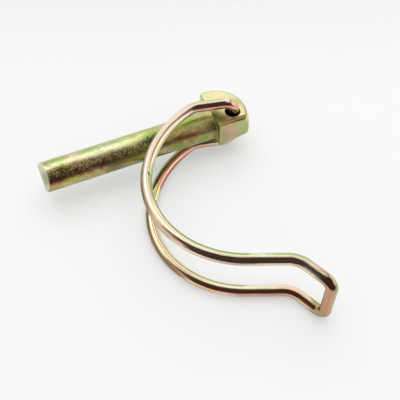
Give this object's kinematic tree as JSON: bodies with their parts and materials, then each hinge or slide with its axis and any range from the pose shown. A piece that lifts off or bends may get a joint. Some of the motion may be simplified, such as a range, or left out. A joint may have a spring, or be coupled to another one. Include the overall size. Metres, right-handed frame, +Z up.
{
  "type": "lynch pin",
  "caption": "Lynch pin for round tube: a round shank with a flattened dome head, and a spring wire bail that swings round to close over the tip.",
  "frame": {"origin": "on the shank's axis, where the shank meets the flat underside of the head", "axes": "-X along the shank towards its tip, +X through the head; +Y away from the head's side flat; +Z up, along the axis that the bail turns about; the part lies on the lower leg of its bail"},
  "size_m": [0.0715, 0.0865, 0.0214],
  "materials": {
    "pin_zinc": "yellow passivated zinc plate, satin and mottled",
    "wire_zinc": "yellow passivated zinc plate, bright"
  },
  "bodies": {
    "pin": {"pin": "pin_zinc"},
    "bail": {"bail": "wire_zinc"}
  },
  "joints": [
    {"name": "bail_swing", "type": "hinge", "parent": "pin", "child": "bail", "pos_m": [0.0071, -0.0017, 0], "axis": [0, 0, -1], "continuous": true}
  ]
}
